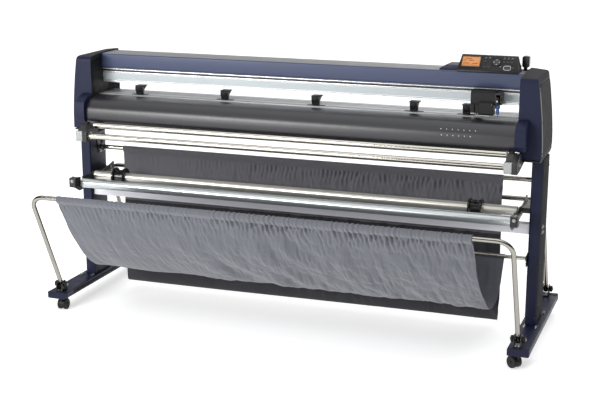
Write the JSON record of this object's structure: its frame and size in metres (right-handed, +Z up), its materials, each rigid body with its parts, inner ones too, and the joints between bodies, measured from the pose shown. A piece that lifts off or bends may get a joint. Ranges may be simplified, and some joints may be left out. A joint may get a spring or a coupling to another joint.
{
  "type": "vinyl cutter",
  "caption": "Wide-format roll-fed vinyl cutter on a wheeled stand, with a tool carriage on a rail, a control panel, guide rods, stock pipes and front and rear catch baskets.",
  "frame": {"origin": "middle of the whole footprint, on the floor under the casters", "axes": "+X along the machine to its control-panel end, +Y to its back, +Z up"},
  "size_m": [2.16, 0.947, 1.192],
  "materials": {
    "navy_paint": "semi-gloss navy powder coat",
    "navy_plastic": "satin navy",
    "panel_plastic": "satin dark navy",
    "tread_rubber": "matte black",
    "black_plastic": "fine grained black",
    "black_paint": "satin black powder coat",
    "chrome": "polished, slightly warm",
    "zinc_steel": "pale zinc plate, satin",
    "cover_plastic": "satin charcoal",
    "fabric_light": "plain weave, mid grey",
    "fabric_dark": "plain weave, dark grey",
    "screen": "lit orange screen",
    "blue_plastic": "blue moulded",
    "cast_alloy": "grained cast alloy",
    "aluminium": "satin anodised"
  },
  "bodies": {
    "root": {"foot_left": "navy_paint", "foot_right": "navy_paint", "post_left": "navy_paint", "post_right": "navy_paint", "crossbeam": "aluminium", "basket_bracket_front_left": "black_paint", "basket_bracket_front_right": "black_paint", "basket_bracket_rear_left": "black_paint", "basket_bracket_rear_right": "black_paint", "front_basket_rod": "chrome", "rear_basket_rod": "chrome", "front_basket_cloth": "fabric_light", "rear_basket_cloth": "fabric_dark", "pipe_bracket_left": "black_paint", "pipe_bracket_right": "black_paint", "side_frame_left": "black_paint", "side_frame_right": "black_paint", "side_cover_left": "navy_plastic", "side_cover_right": "navy_plastic", "guide_end_left": "cast_alloy", "guide_end_right": "cast_alloy", "guide_rod_upper": "chrome", "guide_rod_lower": "chrome", "top_beam": "navy_plastic", "rail": "aluminium", "platen": "aluminium", "chassis": "aluminium", "front_cover": "cover_plastic", "rear_cover": "cover_plastic", "power_inlet": "black_plastic", "feed_motor": "black_paint", "carriage_motor": "black_paint", "control_panel": "panel_plastic", "display": "screen"},
    "front_basket": {"front_basket_frame": "chrome"},
    "rear_basket": {"rear_basket_frame": "chrome"},
    "front_pipe": {"front_pipe": "zinc_steel"},
    "feed_shaft": {"feed_shaft": "zinc_steel", "flange_left": "black_plastic", "flange_right": "black_plastic"},
    "drive_shaft": {"drive_shaft": "aluminium"},
    "carriage": {"carriage": "black_plastic"},
    "tool_holder": {"tool_holder": "blue_plastic"},
    "set_lever": {"set_lever": "black_plastic"},
    "enter_key": {"enter_key": "black_plastic"},
    "arrow_key": {"arrow_key": "black_plastic"},
    "push_roller_1": {"push_roller_1": "black_plastic"},
    "push_roller_2": {"push_roller_2": "black_plastic"},
    "push_roller_3": {"push_roller_3": "black_plastic"},
    "push_roller_4": {"push_roller_4": "black_plastic"},
    "push_roller_5": {"push_roller_5": "black_plastic"},
    "push_roller_6": {"push_roller_6": "black_plastic"},
    "caster_fork_front_left": {"caster_fork_front_left": "black_plastic"},
    "caster_wheel_front_left": {"caster_wheel_front_left": "tread_rubber"},
    "caster_fork_front_right": {"caster_fork_front_right": "black_plastic"},
    "caster_wheel_front_right": {"caster_wheel_front_right": "tread_rubber"},
    "caster_fork_rear_left": {"caster_fork_rear_left": "black_plastic"},
    "caster_wheel_rear_left": {"caster_wheel_rear_left": "tread_rubber"},
    "caster_fork_rear_right": {"caster_fork_rear_right": "black_plastic"},
    "caster_wheel_rear_right": {"caster_wheel_rear_right": "tread_rubber"}
  },
  "joints": [
    {"name": "front_basket_fold", "type": "hinge", "parent": "root", "child": "front_basket", "pos_m": [0, -0.2485, 0.123], "axis": [-1, 0, 0], "range_deg": [0, 25], "deforming": ["front_basket_cloth"]},
    {"name": "rear_basket_swing", "type": "hinge", "parent": "root", "child": "rear_basket", "pos_m": [0, 0.4375, 0.123], "axis": [-1, 0, 0], "range_deg": [0, 43], "deforming": ["rear_basket_cloth"]},
    {"name": "front_pipe_turn", "type": "hinge", "parent": "root", "child": "front_pipe", "pos_m": [0, -0.1345, 0.57], "axis": [1, 0, 0], "continuous": true},
    {"name": "feed_shaft_turn", "type": "hinge", "parent": "root", "child": "feed_shaft", "pos_m": [0, -0.0155, 0.582], "axis": [1, 0, 0], "continuous": true},
    {"name": "drive_shaft_turn", "type": "hinge", "parent": "root", "child": "drive_shaft", "pos_m": [0, 0.0645, 0.9394], "axis": [1, 0, 0], "continuous": true},
    {"name": "carriage_travel", "type": "slide", "parent": "root", "child": "carriage", "axis": [1, 0, 0], "range_m": [-1.7, 0.075]},
    {"name": "tool_drop", "type": "slide", "parent": "carriage", "child": "tool_holder", "axis": [0, 0, -1], "range_m": [0, 0.006], "stiffness_N_per_m": 200, "springref_m": -0.004},
    {"name": "set_lever_turn", "type": "hinge", "parent": "root", "child": "set_lever", "pos_m": [0, 0.1845, 1.098], "axis": [1, 0, 0], "range_deg": [0, 25]},
    {"name": "push_roller_1_lift", "type": "hinge", "parent": "root", "child": "push_roller_1", "pos_m": [-0.766, 0.0895, 0.985], "axis": [-1, 0, 0], "range_deg": [0, 10]},
    {"name": "push_roller_2_lift", "type": "hinge", "parent": "root", "child": "push_roller_2", "pos_m": [-0.35, 0.0895, 0.985], "axis": [-1, 0, 0], "range_deg": [0, 10]},
    {"name": "push_roller_3_lift", "type": "hinge", "parent": "root", "child": "push_roller_3", "pos_m": [0.072, 0.0895, 0.985], "axis": [-1, 0, 0], "range_deg": [0, 10]},
    {"name": "push_roller_4_lift", "type": "hinge", "parent": "root", "child": "push_roller_4", "pos_m": [0.504, 0.0895, 0.985], "axis": [-1, 0, 0], "range_deg": [0, 10]},
    {"name": "push_roller_5_lift", "type": "hinge", "parent": "root", "child": "push_roller_5", "pos_m": [0.727, 0.0895, 0.985], "axis": [-1, 0, 0], "range_deg": [0, 10]},
    {"name": "push_roller_6_lift", "type": "hinge", "parent": "root", "child": "push_roller_6", "pos_m": [0.775, 0.0895, 0.985], "axis": [-1, 0, 0], "range_deg": [0, 10]},
    {"name": "caster_swivel_front_left", "type": "hinge", "parent": "root", "child": "caster_fork_front_left", "pos_m": [-1.03, -0.2525, 0.06], "axis": [0, 0, 1], "continuous": true},
    {"name": "caster_roll_front_left", "type": "hinge", "parent": "caster_fork_front_left", "child": "caster_wheel_front_left", "pos_m": [-1.03112, -0.23654, 0.025], "axis": [0.9976, 0.0698, 0], "continuous": true},
    {"name": "caster_swivel_front_right", "type": "hinge", "parent": "root", "child": "caster_fork_front_right", "pos_m": [1.03, -0.2525, 0.06], "axis": [0, 0, 1], "continuous": true},
    {"name": "caster_roll_front_right", "type": "hinge", "parent": "caster_fork_front_right", "child": "caster_wheel_front_right", "pos_m": [1.01739, -0.24265, 0.025], "axis": [0.6157, 0.788, 0], "continuous": true},
    {"name": "caster_swivel_rear_left", "type": "hinge", "parent": "root", "child": "caster_fork_rear_left", "pos_m": [-1.03, 0.4415, 0.06], "axis": [0, 0, 1], "continuous": true},
    {"name": "caster_roll_rear_left", "type": "hinge", "parent": "caster_fork_rear_left", "child": "caster_wheel_rear_left", "pos_m": [-1.038, 0.42764, 0.025], "axis": [-0.866, 0.5, 0], "continuous": true},
    {"name": "caster_swivel_rear_right", "type": "hinge", "parent": "root", "child": "caster_fork_rear_right", "pos_m": [1.03, 0.4415, 0.06], "axis": [0, 0, 1], "continuous": true},
    {"name": "caster_roll_rear_right", "type": "hinge", "parent": "caster_fork_rear_right", "child": "caster_wheel_rear_right", "pos_m": [1.03414, 0.42604, 0.025], "axis": [-0.9659, -0.2588, 0], "continuous": true},
    {"name": "enter_key_press", "type": "slide", "parent": "root", "child": "enter_key", "axis": [0, 0.7711, -0.6368], "range_m": [0, 0.0015], "stiffness_N_per_m": 300, "springref_m": -0.001},
    {"name": "arrow_key_press", "type": "slide", "parent": "root", "child": "arrow_key", "axis": [0, 0.7711, -0.6368], "range_m": [0, 0.0015], "stiffness_N_per_m": 300, "springref_m": -0.001}
  ],
  "couplings": [
    {"joint": "push_roller_1_lift", "follows": "set_lever_turn", "ratio": 0.4},
    {"joint": "push_roller_2_lift", "follows": "set_lever_turn", "ratio": 0.4},
    {"joint": "push_roller_3_lift", "follows": "set_lever_turn", "ratio": 0.4},
    {"joint": "push_roller_4_lift", "follows": "set_lever_turn", "ratio": 0.4},
    {"joint": "push_roller_5_lift", "follows": "set_lever_turn", "ratio": 0.4},
    {"joint": "push_roller_6_lift", "follows": "set_lever_turn", "ratio": 0.4}
  ]
}
